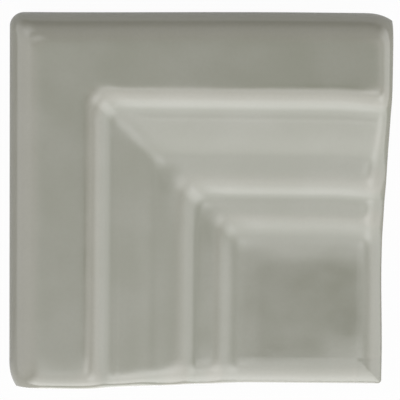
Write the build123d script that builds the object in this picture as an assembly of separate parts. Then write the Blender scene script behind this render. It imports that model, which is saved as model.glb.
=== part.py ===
from build123d import *

import math
import os

# Corner moulding tile: a square glazed tile that carries a stepped moulding round an outside corner.
# It lies face up. The thick band runs along the -X and +Y sides and the moulding steps down from it
# to the fascia, the low flat at the +X, -Y corner. The two arms meet in a mitre on the diagonal.
# Millimetres, +Z up, origin at the middle of the back.

# Plan of the tile
tile_side = 75.0
plan_radius = 2.8
end_radius = 3.5

# Section of the moulding, from the outer face inwards: each length of it has a run and a drop
fascia_height = 8.0
band_run = 16.5
step_run = 2.5
step_drop = 2.4
slope_run = 5.8
slope_drop = 1.3
swell_run = 3.8
swell_drop = 1.4
ledge_run = 5.9
ledge_drop = 0.6
ovolo_run = 2.3
ovolo_drop = 2.2
quirk_run = 4.6
quirk_drop = 0.65
bead_run = 2.6
bead_drop = 1.4
cove_run = 6.0
cove_drop = 0.55

# Rounding of the section's corners
nose_radius = 6.0
step_radius = 7.0
step_foot_radius = 1.7
swell_radius = 12.0
swell_foot_radius = 3.0
ovolo_radius = 6.5
ovolo_foot_radius = 1.4
bead_radius = 6.0
bead_foot_radius = 8.0
cove_radius = 40.0

# Keying pockets in the back, for the bedding mortar
key_side = 12.0
key_land = 4.0
key_border = 7.5
key_depth = 0.8
key_corner_radius = 1.5
key_draft = 20.0

# Run, drop and the radius at the inner end of each length of the moulding
moulding_lengths = [
    (band_run, 0.0, step_radius),
    (step_run, step_drop, step_foot_radius),
    (slope_run, slope_drop, swell_radius),
    (swell_run, swell_drop, swell_foot_radius),
    (ledge_run, ledge_drop, ovolo_radius),
    (ovolo_run, ovolo_drop, ovolo_foot_radius),
    (quirk_run, quirk_drop, bead_radius),
    (bead_run, bead_drop, bead_foot_radius),
    (cove_run, cove_drop, cove_radius),
]
tile_height = fascia_height + sum(drop for _, drop, _ in moulding_lengths)
overlong_side = tile_side + 2 * plan_radius

# The rounding of the mitre ends on the flat of the fascia, beyond the moulding
mitre_end = sum(run for run, _, _ in moulding_lengths) + 2 * plan_radius

# An end is rounded no more than its sharpest outward corner can carry
end_share = 0.95
outward_radii = [nose_radius, step_radius, swell_radius, ovolo_radius, bead_radius]
rolled_end_radius = min(end_radius, end_share * min(outward_radii))


def seated_radii(points, radii, share=0.95):
    """Reduce a corner's radius where its tangents would not fit on the straights beside it."""
    count = len(points)
    corners = [Vector(*point) for point in points]
    sides = [corners[(i + 1) % count] - corners[i] for i in range(count)]
    half_turns = [math.radians(sides[i - 1].get_angle(sides[i])) / 2 for i in range(count)]
    tangents = [radius * math.tan(turn) for radius, turn in zip(radii, half_turns)]
    room = []
    for i in range(count):
        used = tangents[i] + tangents[(i + 1) % count]
        room.append(min(1.0, share * sides[i].length / used) if used > 0 else 1.0)
    return [radius * min(room[i - 1], room[i]) for i, radius in enumerate(radii)]


def moulding_section():
    """Section across one arm: width inwards from the outer face, and height above the back."""
    points = [(0.0, 0.0), (0.0, tile_height)]
    radii = [0.0, nose_radius]
    width, height = 0.0, tile_height
    for run, drop, radius in moulding_lengths:
        width += run
        height -= drop
        points.append((width, height))
        radii.append(radius)
    points += [(overlong_side, fascia_height), (overlong_side, 0.0)]
    radii += [0.0, 0.0]
    return make_face(FilletPolyline(*points, radius=seated_radii(points, radii), close=True))


def straight_arm(length):
    """The moulding run straight down the left side, with the outer corner of the tile at the origin."""
    return extrude(Plane.XZ * moulding_section(), amount=length)


def rolled_arm():
    """The left arm with its lower end rounded over, where the glaze rolls down to the next tile."""
    arm = straight_arm(tile_side)
    end_edges = arm.edges().filter_by_position(Axis.Y, -tile_side, -tile_side)
    foot = end_edges.filter_by_position(Axis.Z, 0, 0)
    far_edge = end_edges.sort_by(Axis.X)[-1:]
    arm = fillet([edge for edge in end_edges if edge not in foot + far_edge], rolled_end_radius)
    # In plan the arm keeps clear of the rounded mitre, and beyond it runs on the diagonal to the tip
    plan = Polyline(
        (0, -plan_radius),
        (0, -tile_side),
        (tile_side, -tile_side),
        (mitre_end, -mitre_end),
        (mitre_end - plan_radius / 2, -mitre_end - plan_radius / 2),
        close=True,
    )
    return arm & extrude(make_face(plan), amount=tile_height)


def rounded_mitre():
    """The strip between the arms: the moulding's mitre section carried round the plan radius."""
    across_mitre = Vector(1, 1, 0).normalized()
    mitre_plane = Plane(origin=(0, -plan_radius, 0), z_dir=across_mitre)
    mitre_section = section(straight_arm(overlong_side), section_by=mitre_plane)
    corner_path = RadiusArc((0, -plan_radius, 0), (plan_radius, 0, 0), plan_radius)
    strip = sweep(mitre_section, path=corner_path, normal=across_mitre)
    outer_half = make_face(Polyline((0, 0), (0, -2 * mitre_end), (2 * mitre_end, 0), close=True))
    return strip & extrude(outer_half, amount=tile_height)


def moulded_blank():
    """Both arms and their mitre, centred on the tile."""
    arm = rolled_arm()
    other_arm = mirror(arm, about=Plane(origin=(0, 0, 0), z_dir=(1, 1, 0)))
    return Pos(-tile_side / 2, tile_side / 2) * (arm + rounded_mitre() + other_arm)


def keying_pockets():
    """Rows of shallow pockets with sloping walls, set inside a plain border."""
    pitch = key_side + key_land
    count = max(1, int((tile_side - 2 * key_border + key_land) / pitch))
    corner_radius = min(key_corner_radius, key_side / 2 - key_depth)
    outline = RectangleRounded(key_side, key_side, corner_radius)
    pocket = extrude(outline, amount=key_depth, taper=key_draft)
    return GridLocations(pitch, pitch, count, count) * pocket


tile = moulded_blank() - keying_pockets()

os.makedirs("parts", exist_ok=True)
export_step(tile, "parts/corner_moulding_tile.step")
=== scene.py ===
import math

import bmesh
import bpy
from mathutils import Euler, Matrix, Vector


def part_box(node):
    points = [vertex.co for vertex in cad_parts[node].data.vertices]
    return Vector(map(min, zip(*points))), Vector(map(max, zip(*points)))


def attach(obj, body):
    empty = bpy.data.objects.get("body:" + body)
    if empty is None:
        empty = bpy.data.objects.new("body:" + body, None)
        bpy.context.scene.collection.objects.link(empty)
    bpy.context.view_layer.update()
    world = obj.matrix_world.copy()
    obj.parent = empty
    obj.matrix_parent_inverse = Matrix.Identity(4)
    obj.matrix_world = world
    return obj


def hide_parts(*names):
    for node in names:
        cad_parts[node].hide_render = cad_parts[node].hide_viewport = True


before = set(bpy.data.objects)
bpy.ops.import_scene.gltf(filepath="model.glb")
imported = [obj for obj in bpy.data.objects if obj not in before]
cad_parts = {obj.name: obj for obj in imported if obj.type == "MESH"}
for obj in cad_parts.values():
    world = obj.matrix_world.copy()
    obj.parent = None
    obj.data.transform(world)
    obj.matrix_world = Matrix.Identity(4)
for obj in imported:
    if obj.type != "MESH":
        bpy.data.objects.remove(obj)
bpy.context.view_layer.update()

MM = 0.001
TILE = "corner_moulding_tile"

# Sizes that the tile's own box gives
tile_low, tile_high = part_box(TILE)
tile_side = tile_high.x - tile_low.x
tile_height = tile_high.z - tile_low.z

# Section of the moulding from the outer face inwards: run, drop, and the radius at the inner end
moulding_lengths = [
    (16.9 * MM, 0.0 * MM, 5.2 * MM),
    (2.4 * MM, 2.15 * MM, 1.7 * MM),
    (5.5 * MM, 1.6 * MM, 12.0 * MM),
    (3.8 * MM, 1.35 * MM, 3.0 * MM),
    (5.9 * MM, 0.75 * MM, 8.5 * MM),
    (2.3 * MM, 1.95 * MM, 1.4 * MM),
    (4.6 * MM, 0.6 * MM, 6.0 * MM),
    (3.2 * MM, 1.7 * MM, 8.0 * MM),
    (5.4 * MM, 0.4 * MM, 40.0 * MM),
]
moulding_width = sum(run for run, _, _ in moulding_lengths)
fascia_height = tile_height - sum(drop for _, drop, _ in moulding_lengths)
nose_radius = 6.0 * MM
rim_wall = 0.2 * MM

# Below, a pair of distances is the start and the stop of a fading

# How far the glaze softens the section, in rounds of smoothing; the nose and the ends are spared
glaze_filling = 8
nose_spared = (1.0 * MM, 5.0 * MM)
ends_spared = (1.0 * MM, 7.0 * MM)

# Rounds that smooth the copy of the section by which hollows and arrises are told apart
hollow_smoothing = 40

# The ends are pillowed: they fall away ever more steeply to a small rounded arris
end_run = 5.3 * MM
end_drop = 2.0 * MM
end_steepening = 2.5
end_arris_radius = 0.4 * MM
end_arris_fall = 0.5 * end_arris_radius
end_arc_points = 12
end_reach = 1.4 * end_run
nose_end_share = 0.75
tip_radius = 0.8 * MM

# On the band and the first slope the ends stay level longer and then fall more steeply
band_end_steepening = 4.5
band_end_start = (1.0 * MM, 7.0 * MM)
band_end_stop = (22.0 * MM, 32.0 * MM)

# The mitre is rounded in plan, a little more on the steps than on the band, until the low flat
mitre_radius = 2.8 * MM
inner_mitre_radius = 3.2 * MM
inner_mitre_start = (4.0 * MM, 14.0 * MM)
mitre_stop = (moulding_width, moulding_width + 8.0 * MM)

# The glaze has run together along the mitre: rounds of smoothing, and where they act
mitre_filling = 16
mitre_filling_reach = (2.0 * MM, 6.0 * MM)
mitre_filling_start = (6.0 * MM, 12.0 * MM)

# A fine raised line along the foot of the first step, left by the mould
ridge_place = 21.2 * MM
ridge_half_width = 0.8 * MM
ridge_height = 0.04 * MM

# The glazed face is a little uneven, most of all along the two ends
wave_length = 16.0 * MM
wave_depth = 0.1 * MM
end_wave_depth = 0.3 * MM
wave_seed = 4.0
wave_spread = (0.2, 0.8)

# A low swelling of the flat near its tip, as the firing left it, a little wider than it is long
swelling_from_left = 67.8 * MM
swelling_from_top = 65.2 * MM
swelling_reach = 6.0 * MM
swelling_length_share = 0.85
swelling_rise = 0.16 * MM

# The left arm's ledge falls a little more towards the ovolo than the other arm's does
ledge_fall = 0.38 * MM
ledge_fall_start = (28.5 * MM, 34.5 * MM)
ledge_fall_stop = (35.0 * MM, 38.0 * MM)
ledge_fall_from_mitre = (0.0 * MM, 10.0 * MM)

# The moulding was pressed a little off the middle of the tile, within the rims
press_drift_far = 0.4 * MM
press_drift_right = 0.1 * MM
press_drift_from_rim = (2.0 * MM, 12.0 * MM)

# The far and near sides are a little out of square, most of all at the left
far_out_of_square = 0.5 * MM
near_out_of_square = 0.35 * MM
out_of_square_depth = 16.0 * MM
out_of_square_length = 60.0 * MM

# The right end is a little hollow in plan, most of all where the moulding meets the low flat
right_end_hollow = 0.42 * MM
right_hollow_start = (16.0 * MM, 46.0 * MM)
right_hollow_stop = (50.0 * MM, 70.0 * MM)
right_hollow_depth = 16.0 * MM

# Keying pockets in the back
key_side = 12.0 * MM
key_land = 4.0 * MM
key_count = 4
key_depth = 0.8 * MM
key_corner_radius = 1.5 * MM
key_floor_share = 0.95

# How finely the glazed face and the walls are divided, and a length too small to matter
points_across = 256
section_corner_points = 24
wall_courses = 8
pocket_corner_points = 5
hair = 0.001 * MM


class Wire:
    """A value on its way through a node tree. Arithmetic on it adds Math nodes to that tree."""

    def __init__(self, bench, socket):
        self.bench = bench
        self.socket = socket

    def also(self, name):
        """Another output of the node that this value comes from."""
        return Wire(self.bench, self.socket.node.outputs[name])

    def math(self, operation, *terms):
        return self.bench.add("ShaderNodeMath", {"operation": operation}, dict(enumerate(terms)))

    def __add__(self, other):
        return self.math("ADD", self, other)

    def __radd__(self, other):
        return self.math("ADD", other, self)

    def __sub__(self, other):
        return self.math("SUBTRACT", self, other)

    def __rsub__(self, other):
        return self.math("SUBTRACT", other, self)

    def __mul__(self, other):
        return self.math("MULTIPLY", self, other)

    def __rmul__(self, other):
        return self.math("MULTIPLY", other, self)

    def __truediv__(self, other):
        return self.math("DIVIDE", self, other)

    def __rtruediv__(self, other):
        return self.math("DIVIDE", other, self)

    def __mod__(self, other):
        return self.math("FLOORED_MODULO", self, other)

    def __pow__(self, other):
        return self.math("POWER", self, other)

    def __gt__(self, other):
        return self.math("GREATER_THAN", self, other)

    def __lt__(self, other):
        return self.math("LESS_THAN", self, other)

    def __abs__(self):
        return self.math("ABSOLUTE", self)

    def least(self, other):
        return self.math("MINIMUM", self, other)

    def most(self, other):
        return self.math("MAXIMUM", self, other)


class Bench:
    """A node tree being put together, one node at a time."""

    def __init__(self, tree):
        self.tree = tree

    def add(self, kind, settings=None, sockets=None, out=0):
        """Add a node: its settings, then its sockets' values or wires. Gives one of its outputs."""
        node = self.tree.nodes.new(kind)
        for name, value in (settings or {}).items():
            setattr(node, name, value)
        for key, value in (sockets or {}).items():
            socket = self.find(node.inputs, key)
            if isinstance(value, (list, tuple)) and value and isinstance(value[0], Wire):
                for wire in value:
                    self.tree.links.new(wire.socket, socket)
            elif isinstance(value, Wire):
                self.tree.links.new(value.socket, socket)
            else:
                socket.default_value = value
        return Wire(self, self.find(node.outputs, out)) if len(node.outputs) else node

    @staticmethod
    def find(sockets, key):
        if isinstance(key, int):
            return sockets[key]
        return next(socket for socket in sockets if socket.name == key and socket.enabled)

    def parts(self, vector):
        """The three numbers of a vector."""
        split = self.add("ShaderNodeSeparateXYZ", None, {0: vector})
        return split, split.also("Y"), split.also("Z")

    def vector(self, x, y, z):
        return self.add("ShaderNodeCombineXYZ", None, {0: x, 1: y, 2: z})

    def ease(self, value, start, stop):
        """0 below start, 1 above stop, smooth between."""
        return self.add(
            "ShaderNodeMapRange",
            {"interpolation_type": "SMOOTHSTEP"},
            {"Value": value, "From Min": start, "From Max": stop},
        )

    def within(self, value, rise, fall):
        """1 between two fadings, 0 outside them, smooth along each."""
        return self.ease(value, *rise) * (1.0 - self.ease(value, *fall))


# The tile's shape


def section_line():
    """Corner points of the section as an open line of edges, each point with its rounding."""
    points = [(0.0, tile_height - nose_radius - rim_wall), (0.0, tile_height)]
    radii = [0.0, nose_radius]
    width, height = 0.0, tile_height
    for run, drop, radius in moulding_lengths:
        width += run
        height -= drop
        points.append((width, height))
        radii.append(radius)
    for step in range(end_arc_points + 1):
        along = step / end_arc_points
        fallen = end_drop * along**end_steepening
        points.append((tile_side - end_run * (1 - along), height - fallen))
        radii.append(0.0)
    radii[-1] = end_arris_radius
    points.append((tile_side, points[-1][1] - end_arris_fall))
    radii.append(0.0)
    mesh = bpy.data.meshes.new("section")
    edges = [(i, i + 1) for i in range(len(points) - 1)]
    mesh.from_pydata([(width, 0.0, height) for width, height in points], edges, [])
    rounding = mesh.attributes.new("corner_radius", "FLOAT", "POINT")
    rounding.data.foreach_set("value", radii)
    return bpy.data.objects.new("section", mesh)


def rounded_section(bench, sizes):
    """The section line with its corners rounded, divided into even steps."""
    radius = bench.add("GeometryNodeInputNamedAttribute", None, {"Name": "corner_radius"})
    line = bench.add("GeometryNodeMeshToCurve", None, {"Mesh": sizes["Section"]})
    line = bench.add(
        "GeometryNodeFilletCurve",
        {"mode": "POLY"},
        {"Curve": line, "Radius": radius, "Count": section_corner_points, "Limit Radius": False},
    )
    count = sizes["Points across"]
    return bench.add("GeometryNodeResampleCurve", None, {"Curve": line, "Count": count})


def rounded_pair(near, far, radius):
    """Shift two plan distances so that lines of equal nearness turn on arcs of that radius."""
    apart = abs(near - far)
    inside = apart < radius
    turn = (1.0 - apart / radius) * (math.pi / 4)
    nearer = radius * (1.0 - turn.math("COSINE", turn)) * inside
    farther = (radius - radius * turn.math("SINE", turn) - apart) * inside
    near_first = near < far
    far_first = 1.0 - near_first
    return near_first * nearer + far_first * farther, near_first * farther + far_first * nearer


def plan_rounding(bench, sizes, from_left, from_top, on_moulding):
    """Shifts in plan that round the mitre along the moulding, and the tip at the rim alone."""
    inner_share = bench.ease(from_left.least(from_top), *inner_mitre_start)
    change = sizes["Inner mitre radius"] - sizes["Mitre radius"]
    radius = sizes["Mitre radius"] + change * inner_share
    mitre_x, mitre_y = rounded_pair(from_left, from_top, radius)
    to_right = sizes["Tile side"] - from_left
    to_bottom = sizes["Tile side"] - from_top
    near_tip = to_right.least(to_bottom)
    radius = (sizes["Tip radius"] - near_tip).most(hair)
    tip_x, tip_y = rounded_pair(to_right, to_bottom, radius)
    at_rim = near_tip < sizes["Tip radius"]
    return mitre_x * on_moulding - tip_x * at_rim, mitre_y * on_moulding - tip_y * at_rim


def fired_plan(bench, sizes, from_left, from_top, shift, from_rim):
    """Place in plan after the firing: drifted, out of square, and hollow at the right end."""
    side = sizes["Tile side"]
    drifted = bench.ease(from_rim, *press_drift_from_rim)
    bow = bench.within(from_top, right_hollow_start, right_hollow_stop)
    near_right = 1.0 - bench.ease(side - from_left, 0.0, right_hollow_depth)
    hollowed = sizes["Right end hollow"] * bow * near_right
    plan_x = from_left + shift[0] + sizes["Press drift right"] * drifted - hollowed - side / 2
    far_share = 1.0 - bench.ease(from_top, 0.0, out_of_square_depth)
    near_share = 1.0 - bench.ease(side - from_top, 0.0, out_of_square_depth)
    drawn_in = sizes["Far out of square"] * far_share - sizes["Near out of square"] * near_share
    drawn_in = drawn_in * (1.0 - bench.ease(from_left, 0.0, out_of_square_length))
    plan_y = side / 2 - (from_top + shift[1]) + sizes["Press drift far"] * drifted - drawn_in
    return plan_x, plan_y


def small_forms(bench, sizes, from_left, from_top, outer_width):
    """Heights of the small forms: the raised line, the left ledge's fall, and the swelling."""
    from_ridge = abs(outer_width - ridge_place)
    ridge = sizes["Ridge height"] * (1.0 - bench.ease(from_ridge, 0.0, ridge_half_width))
    on_ledge = bench.within(outer_width, ledge_fall_start, ledge_fall_stop)
    on_left_arm = bench.ease(from_top - from_left, *ledge_fall_from_mitre)
    fall = sizes["Ledge fall"] * on_ledge * on_left_arm
    aside = (from_left - swelling_from_left) * swelling_length_share
    along = from_top - swelling_from_top
    from_swelling = (aside**2.0 + along**2.0) ** 0.5
    swelling = sizes["Swelling rise"] * (1.0 - bench.ease(from_swelling, 0.0, swelling_reach))
    return ridge, fall, swelling


def pressed_face(bench, sizes):
    """The glazed face: the section carried along both arms, mitred, with rolled ends."""
    across = sizes["Points across"]
    side = sizes["Tile side"]
    line = rounded_section(bench, sizes)
    place = bench.add("GeometryNodeInputPosition")
    tangent = bench.add("GeometryNodeInputTangent")
    grid = bench.add("GeometryNodeMeshGrid", None, {"Vertices X": across, "Vertices Y": across})
    index = bench.add("GeometryNodeInputIndex")
    row = index % across
    column = (index - row) / across

    def on_section(value, number):
        sample = bench.add(
            "GeometryNodeSampleIndex",
            {"data_type": "FLOAT_VECTOR"},
            {"Geometry": line, "Value": value, "Index": number},
        )
        return bench.parts(sample)

    def roll_at(width, height):
        return (width > side - sizes["End run"]) * (sizes["Fascia height"] - height)

    def blurred(value, rounds, weight):
        return bench.add(
            "GeometryNodeBlurAttribute",
            {"data_type": "FLOAT_VECTOR"},
            {"Value": value, "Iterations": rounds, "Weight": weight},
        )

    # The glaze fills the section softly, but for the nose and the end
    width_here, _, _ = bench.parts(place)
    off_rims = bench.ease(width_here, *nose_spared) * bench.ease(side - width_here, *ends_spared)
    filled = blurred(place, sizes["Glaze filling"], off_rims)

    # How far the section lies below a smoothed copy of itself: above nought in hollows
    smoothed = blurred(place, hollow_smoothing, weight=1.0)
    aside = bench.add("ShaderNodeVectorMath", {"operation": "SUBTRACT"}, {0: smoothed, 1: place})
    aside_x, _, aside_z = bench.parts(aside)
    tangent_x, _, tangent_z = bench.parts(tangent)
    hollow_line = bench.vector((aside_z * tangent_x - aside_x * tangent_z) / MM, 0.0, 0.0)

    # Each arm is the section at the nearer outer face
    outer = column.least(row)
    inner = column.most(row)
    outer_width, _, outer_height = on_section(filled, outer)
    inner_width, _, inner_height = on_section(filled, inner)
    lean, _, climb = on_section(tangent, outer)
    from_end = side - inner_width
    _, _, soft_height = on_section(smoothed, outer)
    near_end = 1.0 - bench.ease(from_end, 0.0, end_reach)
    outer_height = outer_height + (soft_height - outer_height) * near_end

    # At its end the arm is sunk: inwards on the nose, else downwards, and more steeply on the band
    band_share = bench.within(outer_width, band_end_start, band_end_stop)
    tightness = 1.0 + (sizes["Band end tightness"] - 1.0) * band_share
    sunk = roll_at(inner_width, inner_height).most(0.0)
    sunk = sizes["End depth"] * (sunk / sizes["End depth"]) ** tightness
    own_roll = roll_at(outer_width, outer_height)
    on_left_arm = column < row
    on_nose = climb > 0.0
    height = outer_height + own_roll - sunk * (on_nose * lean + 1.0 - on_nose)
    across_arm = outer_width + sunk * climb * on_nose * sizes["Nose end share"]
    from_left = on_left_arm * across_arm + (1.0 - on_left_arm) * inner_width
    from_top = on_left_arm * inner_width + (1.0 - on_left_arm) * across_arm

    # Plan and small forms
    from_outside = from_left.least(from_top)
    on_moulding = 1.0 - bench.ease(from_outside, *mitre_stop)
    shift = plan_rounding(bench, sizes, from_left, from_top, on_moulding)
    from_rim = outer_width.least(from_end)
    plan_x, plan_y = fired_plan(bench, sizes, from_left, from_top, shift, from_rim)
    ridge, fall, swelling = small_forms(bench, sizes, from_left, from_top, outer_width)
    height = height + ridge - fall + swelling

    # The uneven lie of the glaze
    wave = bench.add(
        "ShaderNodeTexNoise",
        {"noise_dimensions": "4D"},
        {
            "Vector": bench.vector(plan_x, plan_y, 0.0),
            "W": sizes["Wave seed"],
            "Scale": 1.0 / sizes["Wave length"],
            "Detail": 1.0,
        },
    )
    wave_size = sizes["Wave depth"] + (sizes["End wave depth"] - sizes["Wave depth"]) * near_end
    height = height - wave_size * bench.ease(wave, *wave_spread) * lean.most(0.0)

    # The glaze has run together along the mitre and softens it
    beside_mitre = 1.0 - bench.ease(abs(from_left - from_top), *mitre_filling_reach)
    on_steps = bench.ease(from_outside, *mitre_filling_start) * on_moulding
    pressed = bench.vector(plan_x, plan_y, height)
    run_together = blurred(pressed, sizes["Mitre filling"], beside_mitre * on_steps)
    face = bench.add("GeometryNodeSetPosition", None, {"Geometry": grid, "Position": run_together})

    # The finish reads where hollows and arrises are: the hollows get painted shade, the arrises
    # thinner glaze
    hollow, _, _ = on_section(hollow_line, outer)
    end_hollow, _, _ = on_section(hollow_line, inner)
    hollow = hollow * (outer_width < side - sizes["End run"]) + end_hollow * near_end
    return bench.add(
        "GeometryNodeStoreNamedAttribute",
        {"data_type": "FLOAT", "domain": "POINT"},
        {"Geometry": face, "Name": "hollow", "Value": hollow},
    )


def walls_and_back(bench, face, sizes):
    """Walls from the rim of the face down to the bed, and the back with its keying pockets."""
    place = bench.add("GeometryNodeInputPosition")
    place_x, place_y, place_z = bench.parts(place)
    body = bench.add(
        "GeometryNodeStoreNamedAttribute",
        {"data_type": "FLOAT", "domain": "POINT"},
        {"Geometry": face, "Name": "rim_height", "Value": place_z},
    )
    rim_height = bench.add("GeometryNodeInputNamedAttribute", None, {"Name": "rim_height"})
    faces_beside = bench.add("GeometryNodeInputMeshEdgeNeighbors")
    rim = bench.add(
        "FunctionNodeCompare",
        {"data_type": "INT", "operation": "EQUAL"},
        {"A": faces_beside, "B": 1},
    )
    for course in range(1, wall_courses + 1):
        body = bench.add(
            "GeometryNodeExtrudeMesh",
            {"mode": "EDGES"},
            {"Mesh": body, "Selection": rim, "Offset Scale": 0.0},
        )
        rim = body.also("Top")
        level = rim_height * (1.0 - course / wall_courses)
        body = bench.add(
            "GeometryNodeSetPosition",
            None,
            {"Geometry": body, "Selection": rim, "Position": bench.vector(place_x, place_y, level)},
        )
    foot = bench.add("GeometryNodeMeshToCurve", None, {"Mesh": body, "Selection": rim})

    # The pockets: rounded squares set out on a square pattern
    pitch = sizes["Pocket side"] + sizes["Pocket land"]
    count = sizes["Pockets across"]
    spread = pitch * (count - 1.0)
    pattern = bench.add(
        "GeometryNodeMeshGrid",
        None,
        {"Size X": spread, "Size Y": spread, "Vertices X": count, "Vertices Y": count},
    )
    square = bench.add(
        "GeometryNodeCurvePrimitiveQuadrilateral",
        None,
        {"Width": sizes["Pocket side"], "Height": sizes["Pocket side"]},
    )
    square = bench.add(
        "GeometryNodeFilletCurve",
        {"mode": "POLY"},
        {"Curve": square, "Count": pocket_corner_points, "Radius": sizes["Pocket corner radius"]},
    )
    mouths = bench.add(
        "GeometryNodeInstanceOnPoints",
        None,
        {"Points": pattern, "Instance": square},
    )
    mouths = bench.add("GeometryNodeRealizeInstances", None, {"Geometry": mouths})
    outlines = bench.add("GeometryNodeJoinGeometry", None, {"Geometry": [foot, mouths]})
    back = bench.add("GeometryNodeFillCurve", {"mode": "TRIANGLES"}, {"Curve": outlines})
    floors = bench.add("GeometryNodeFillCurve", {"mode": "NGONS"}, {"Curve": mouths})
    pockets = bench.add(
        "GeometryNodeExtrudeMesh",
        {"mode": "FACES"},
        {
            "Mesh": floors,
            "Offset": (0.0, 0.0, 1.0),
            "Offset Scale": sizes["Pocket depth"],
            "Individual": True,
        },
    )
    pockets = bench.add(
        "GeometryNodeScaleElements",
        {"domain": "FACE"},
        {
            "Geometry": pockets,
            "Selection": pockets.also("Top"),
            "Scale": sizes["Pocket floor share"],
        },
    )
    back = bench.add("GeometryNodeJoinGeometry", None, {"Geometry": [back, pockets]})
    body = bench.add("GeometryNodeSetShadeSmooth", None, {"Geometry": body, "Shade Smooth": True})
    back = bench.add("GeometryNodeSetShadeSmooth", None, {"Geometry": back, "Shade Smooth": False})
    whole = bench.add("GeometryNodeJoinGeometry", None, {"Geometry": [body, back]})
    return bench.add("GeometryNodeMergeByDistance", None, {"Geometry": whole, "Distance": hair})


tile_inputs = [
    ("Points across", "NodeSocketInt", points_across),
    ("Glaze filling", "NodeSocketInt", glaze_filling),
    ("Mitre filling", "NodeSocketInt", mitre_filling),
    ("Tile side", "NodeSocketFloat", tile_side),
    ("Fascia height", "NodeSocketFloat", fascia_height),
    ("End run", "NodeSocketFloat", end_run),
    ("End depth", "NodeSocketFloat", end_drop + end_arris_fall),
    ("Band end tightness", "NodeSocketFloat", band_end_steepening / end_steepening),
    ("Nose end share", "NodeSocketFloat", nose_end_share),
    ("Mitre radius", "NodeSocketFloat", mitre_radius),
    ("Inner mitre radius", "NodeSocketFloat", inner_mitre_radius),
    ("Tip radius", "NodeSocketFloat", tip_radius),
    ("Ridge height", "NodeSocketFloat", ridge_height),
    ("Wave length", "NodeSocketFloat", wave_length),
    ("Wave depth", "NodeSocketFloat", wave_depth),
    ("End wave depth", "NodeSocketFloat", end_wave_depth),
    ("Wave seed", "NodeSocketFloat", wave_seed),
    ("Swelling rise", "NodeSocketFloat", swelling_rise),
    ("Ledge fall", "NodeSocketFloat", ledge_fall),
    ("Press drift right", "NodeSocketFloat", press_drift_right),
    ("Press drift far", "NodeSocketFloat", press_drift_far),
    ("Far out of square", "NodeSocketFloat", far_out_of_square),
    ("Near out of square", "NodeSocketFloat", near_out_of_square),
    ("Right end hollow", "NodeSocketFloat", right_end_hollow),
    ("Pocket side", "NodeSocketFloat", key_side),
    ("Pocket land", "NodeSocketFloat", key_land),
    ("Pockets across", "NodeSocketInt", key_count),
    ("Pocket depth", "NodeSocketFloat", key_depth),
    ("Pocket corner radius", "NodeSocketFloat", key_corner_radius),
    ("Pocket floor share", "NodeSocketFloat", key_floor_share),
]


def tile_tree(material):
    """The tree that turns the section line into the whole tile."""
    tree = bpy.data.node_groups.new("tile pressing", "GeometryNodeTree")
    tree.interface.new_socket("Section", in_out="INPUT", socket_type="NodeSocketGeometry")
    for name, kind, _ in tile_inputs:
        tree.interface.new_socket(name, in_out="INPUT", socket_type=kind)
    tree.interface.new_socket("Tile", in_out="OUTPUT", socket_type="NodeSocketGeometry")
    bench = Bench(tree)
    first = bench.add("NodeGroupInput")
    sizes = {name: first.also(name) for name, _, _ in tile_inputs}
    sizes["Section"] = first
    body = walls_and_back(bench, pressed_face(bench, sizes), sizes)
    body = bench.add("GeometryNodeRealizeInstances", None, {"Geometry": body})
    body = bench.add("GeometryNodeSetMaterial", None, {"Geometry": body, "Material": material})
    bench.add("NodeGroupOutput", None, {"Tile": body})
    return tree


def press_tile(material):
    """Run the tree on the section line and keep the result as a plain mesh."""
    maker = section_line()
    bpy.context.scene.collection.objects.link(maker)
    pressing = maker.modifiers.new("pressing", "NODES")
    pressing.node_group = tile_tree(material)
    values = {name: value for name, _, value in tile_inputs}
    for item in pressing.node_group.interface.items_tree:
        if item.name in values:
            pressing[item.identifier] = values[item.name]
    evaluated = maker.evaluated_get(bpy.context.evaluated_depsgraph_get())
    mesh = bpy.data.meshes.new_from_object(evaluated)
    maker.modifiers.remove(pressing)
    bpy.data.objects.remove(maker)
    work = bmesh.new()
    work.from_mesh(mesh)
    bmesh.ops.recalc_face_normals(work, faces=work.faces)
    work.to_mesh(mesh)
    work.free()
    mesh.name = "glazed_tile"
    tile = bpy.data.objects.new("glazed_tile", mesh)
    bpy.context.scene.collection.objects.link(tile)
    return tile


# Finishes

white = (1.0, 1.0, 1.0, 1.0)

# Glaze: its colours, the sizes of its clouds and specks, where it thins, and the shade painted
# darker in its hollows
glaze_colour = (0.160, 0.162, 0.129, 1.0)
glaze_pale = (0.174, 0.175, 0.144, 1.0)
# The darker glaze colour serves both the dark specks and the painted shade in the hollows
glaze_speck_and_painted_shade = (0.138, 0.142, 0.110, 1.0)
glaze_thin = (0.192, 0.182, 0.150, 1.0)
glaze_cloud = 13.0 * MM
cloud_spread = (0.35, 0.7)
glaze_speck = 0.7 * MM
speck_spread = (0.35, 0.75)
speck_share = 0.12
painted_shade_hollows = (0.02, 0.25)
painted_shade_share = 0.5
thin_arrises = (0.05, 0.25)
thin_share = 0.5
ripple_length = 2.4 * MM
ripple_depth = 0.04 * MM
glaze_roughness = 0.13
cloud_roughness = 0.06

# Bare body at the foot, below an uneven glaze line
body_colour = (0.56, 0.47, 0.36, 1.0)
body_pale = (0.66, 0.58, 0.47, 1.0)
body_cloud = 3.0 * MM
grit_size = 0.5 * MM
grit_depth = 0.1 * MM
glaze_line = 2.0 * MM
glaze_line_rise = 1.4 * MM
glaze_line_wave = 6.0 * MM
glaze_line_blur = 0.12 * MM

# Floor: how white it is to the camera, and in the glaze, where only the near floor is white
floor_reach = 4.0
floor_paper = (0.45, 0.45, 0.45, 1.0)
floor_whiteness = 0.96
mirrored_dim = 0.05
mirrored_gain = 0.9
mirrored_start = (34.0 * MM, 42.0 * MM)


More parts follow.
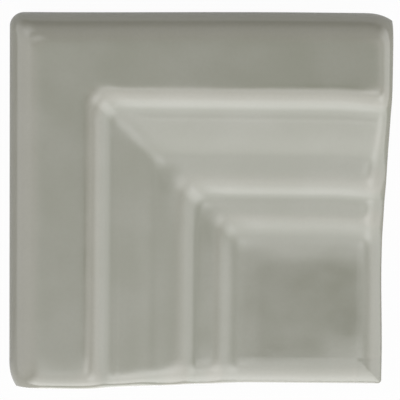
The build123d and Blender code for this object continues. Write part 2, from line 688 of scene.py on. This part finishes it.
def glazed_ware():
    """Gloss grey-green glaze, thin on arrises, darkened in hollows by painted shade, over a bare
    buff foot.
    """
    material = bpy.data.materials.new("glazed ware")
    material.use_nodes = True
    material.node_tree.nodes.clear()
    bench = Bench(material.node_tree)
    place = bench.add("ShaderNodeTexCoord", None, None, "Object")
    _, _, height = bench.parts(place)

    def clouds(size, detail):
        sockets = {"Vector": place, "Scale": 1.0 / size, "Detail": detail}
        return bench.add("ShaderNodeTexNoise", None, sockets)

    def blend(share, first, second):
        sockets = {"Factor": share, "A": first, "B": second}
        return bench.add("ShaderNodeMix", {"data_type": "RGBA"}, sockets, "Result")

    # Glaze
    hollow = bench.add("ShaderNodeAttribute", {"attribute_name": "hollow"}, None, "Fac")
    broad = bench.ease(clouds(glaze_cloud, detail=3.0), *cloud_spread)
    fine = bench.ease(clouds(glaze_speck, detail=2.0), *speck_spread)
    colour = blend(broad, glaze_colour, glaze_pale)
    # Painted shade: the glaze colour is darkened in the hollows of the section
    colour = blend(bench.ease(hollow, *painted_shade_hollows) * painted_shade_share, colour, glaze_speck_and_painted_shade)
    colour = blend(bench.ease(hollow * -1.0, *thin_arrises) * thin_share, colour, glaze_thin)
    # Dark specks in the glaze, in the same colour as the painted shade
    colour = blend(fine * speck_share, colour, glaze_speck_and_painted_shade)
    ripple = bench.add(
        "ShaderNodeBump",
        None,
        {"Strength": 0.3, "Distance": ripple_depth, "Height": clouds(ripple_length, detail=2.0)},
    )
    glaze = bench.add(
        "ShaderNodeBsdfPrincipled",
        None,
        {
            "Base Color": colour,
            "Roughness": glaze_roughness + cloud_roughness * broad,
            "IOR": 1.8,
            "Normal": ripple,
        },
    )

    # Bare body below the glaze line and on the back
    grit = bench.add(
        "ShaderNodeBump",
        None,
        {"Strength": 0.5, "Distance": grit_depth, "Height": clouds(grit_size, detail=4.0)},
    )
    buff = blend(clouds(body_cloud, detail=5.0), body_colour, body_pale)
    body = bench.add(
        "ShaderNodeBsdfPrincipled",
        None,
        {"Base Color": buff, "Roughness": 0.85, "Normal": grit},
    )
    above_line = height - glaze_line - glaze_line_rise * clouds(glaze_line_wave, detail=3.0)
    glazed = bench.ease(above_line, -glaze_line_blur, glaze_line_blur)
    ware_face = bench.add("ShaderNodeMixShader", None, {0: glazed, 1: body, 2: glaze})
    bench.add("ShaderNodeOutputMaterial", None, {"Surface": ware_face})
    return material


def white_bench():
    """Floor: white where it is seen, with a trace of the tile's soft shadow."""
    material = bpy.data.materials.new("white bench")
    material.use_nodes = True
    material.node_tree.nodes.clear()
    bench = Bench(material.node_tree)
    paper = bench.add("ShaderNodeBsdfDiffuse", None, {"Color": floor_paper})
    glow = bench.add("ShaderNodeEmission", None, {"Color": white, "Strength": 1.0})
    _, far, _ = bench.parts(bench.add("ShaderNodeTexCoord", None, None, "Object"))
    mirrored_whiteness = mirrored_dim + mirrored_gain * bench.ease(far * -1.0, *mirrored_start)
    path = bench.add("ShaderNodeLightPath", None, None, "Is Camera Ray")
    mirrored = path.also("Is Glossy Ray").most(path.also("Is Transmission Ray"))
    seen = (path * floor_whiteness).most(mirrored * mirrored_whiteness)
    floor = bench.add("ShaderNodeMixShader", None, {0: seen, 1: paper, 2: glow})
    bench.add("ShaderNodeOutputMaterial", None, {"Surface": floor})
    return material


def lay_floor():
    """A plain flat floor under the tile, which is not part of it."""
    mesh = bpy.data.meshes.new("floor")
    signs = [(-1, -1), (1, -1), (1, 1), (-1, 1)]
    corners = [(floor_reach * x, floor_reach * y, 0.0) for x, y in signs]
    mesh.from_pydata(corners, [], [(0, 1, 2, 3)])
    floor = bpy.data.objects.new("floor", mesh)
    floor.data.materials.append(white_bench())
    bpy.context.scene.collection.objects.link(floor)


# Camera and light

# The camera's tilt is in degrees, and its focal length in pixels of the picture
picture_width = 400
sensor_width = 36.0
camera_place = Vector((-4.5 * MM, 37.5 * MM, 400.0 * MM))
camera_tilt = (-5.49, -0.63, 0.6)
camera_focal_pixels = 1966.0
camera_clip = 10.0 * MM

# The tent's sides: how squarely a direction faces each, where its light starts and where it is full
near_facing = (0.4, 0.8)
near_left_limit = (0.35, 0.75)
right_facing = (0.5, 0.9)
left_facing = (0.6, 0.95)
far_facing = (0.6, 0.95)
corner_facing = (0.33, 0.5)
low_near_facing = (0.75, 0.95)

# How bright the tent is all over, and all of the light together
tent_level = 0.6
light_level = 0.95

# The near light starts along a straight edge: change of level, and how far to the near side
near_edge = [(1.65, 0.15, 0.32)]

# Each side's light in bands: change of level, and the lean from overhead, 0 to 1, at start and stop
near_bands = [(0.6, 0.45, 0.85)]
low_near_bands = [(0.95, 0.8, 1.0)]
right_bands = [(0.2, 0.16, 0.25), (0.5, 0.29, 0.4), (-0.1, 0.45, 0.54), (1.1, 0.57, 0.85)]
left_bands = [(1.1, 0.25, 0.6)]
far_bands = [(0.15, 0.3, 0.6), (-0.45, 0.82, 0.99)]
corner_bands = [(0.9, 0.18, 0.32), (-1.0, 0.42, 0.52), (1.1, 0.58, 0.7)]
corner_stop = (0.75, 0.95)
least_lean = 0.001

# A soft light overhead and a small dim gap beside it: place to the right and near, level and reach
overhead_place = (-0.22, 0.15)
overhead_level = 0.8
overhead_reach = (0.04, 0.34)
gap_place = (0.09, 0.115)
gap_level = 0.8
gap_reach = (0.015, 0.06)

# A panel on the floor before the near end
panel_place = (0.0 * MM, -64.0 * MM, 1.0 * MM)
panel_size = (76.0 * MM, 44.0 * MM)
panel_level = 2.0


def set_camera():
    """The camera, high above the far side of the tile and tilted a little to the near side."""
    data = bpy.data.cameras.new("camera")
    data.sensor_width = sensor_width
    data.lens = sensor_width * camera_focal_pixels / picture_width
    data.clip_start = camera_clip
    camera = bpy.data.objects.new("camera", data)
    camera.location = camera_place
    camera.rotation_euler = Euler([math.radians(angle) for angle in camera_tilt], "XYZ")
    bpy.context.scene.collection.objects.link(camera)
    bpy.context.scene.camera = camera


def light_studio():
    """A soft tent: brightest at the near side, weaker left and right, dim at the far side."""
    world = bpy.data.worlds.new("studio")
    bpy.context.scene.world = world
    world.use_nodes = True
    world.node_tree.nodes.clear()
    bench = Bench(world.node_tree)
    direction = bench.add("ShaderNodeTexCoord", None, None, "Generated")
    right, far, _ = bench.parts(direction)
    near = far * -1.0
    lean = (right**2.0 + far**2.0) ** 0.5
    to_near = near / lean.most(least_lean)
    to_right = right / lean.most(least_lean)

    def banded(value, bands):
        return sum(level * bench.ease(value, start, stop) for level, start, stop in bands)

    def spot(place, level, reach):
        away = ((right - place[0]) ** 2.0 + (near - place[1]) ** 2.0) ** 0.5
        return level * (1.0 - bench.ease(away, *reach))

    left_of_near = bench.ease(to_right * -1.0, *near_left_limit)
    near_side = bench.ease(to_near, *near_facing) * (1.0 - left_of_near)
    right_side = bench.ease(to_right, *right_facing) * (1.0 - near_side)
    left_side = bench.ease(to_right * -1.0, *left_facing)
    far_side = bench.ease(to_near * -1.0, *far_facing)
    corner_side = bench.ease(to_near * to_right, *corner_facing)
    low_near_light = banded(lean, low_near_bands) * bench.ease(to_near, *low_near_facing)
    near_light = banded(near, near_edge) + banded(lean, near_bands) + low_near_light
    corner_light = banded(lean, corner_bands) * (1.0 - bench.ease(lean, *corner_stop))
    sides = near_side * near_light + right_side * banded(lean, right_bands)
    sides = sides + left_side * banded(lean, left_bands) + far_side * banded(lean, far_bands)
    overhead = spot(overhead_place, overhead_level, overhead_reach)
    gap = spot(gap_place, gap_level, gap_reach)
    strength = light_level * (tent_level + sides + corner_side * corner_light + overhead - gap)
    sky = bench.add("ShaderNodeBackground", None, {"Color": white, "Strength": strength})
    bench.add("ShaderNodeOutputWorld", None, {"Surface": sky})


def lay_light_panel():
    """A flat panel on the floor outside the picture, shining upwards into the rolled near end."""
    lamp = bpy.data.lights.new("near panel", "AREA")
    lamp.shape = "RECTANGLE"
    lamp.size, lamp.size_y = panel_size
    lamp.energy = panel_level * math.pi * panel_size[0] * panel_size[1]
    panel = bpy.data.objects.new("near panel", lamp)
    panel.location = panel_place
    panel.rotation_euler = Euler((math.pi, 0.0, 0.0), "XYZ")
    panel.visible_camera = False
    panel.visible_diffuse = False
    bpy.context.scene.collection.objects.link(panel)


ware = glazed_ware()
tile = press_tile(ware)
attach(tile, "root")
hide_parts(TILE)
lay_floor()
set_camera()
light_studio()
lay_light_panel()
bpy.context.scene.view_settings.view_transform = "Standard"
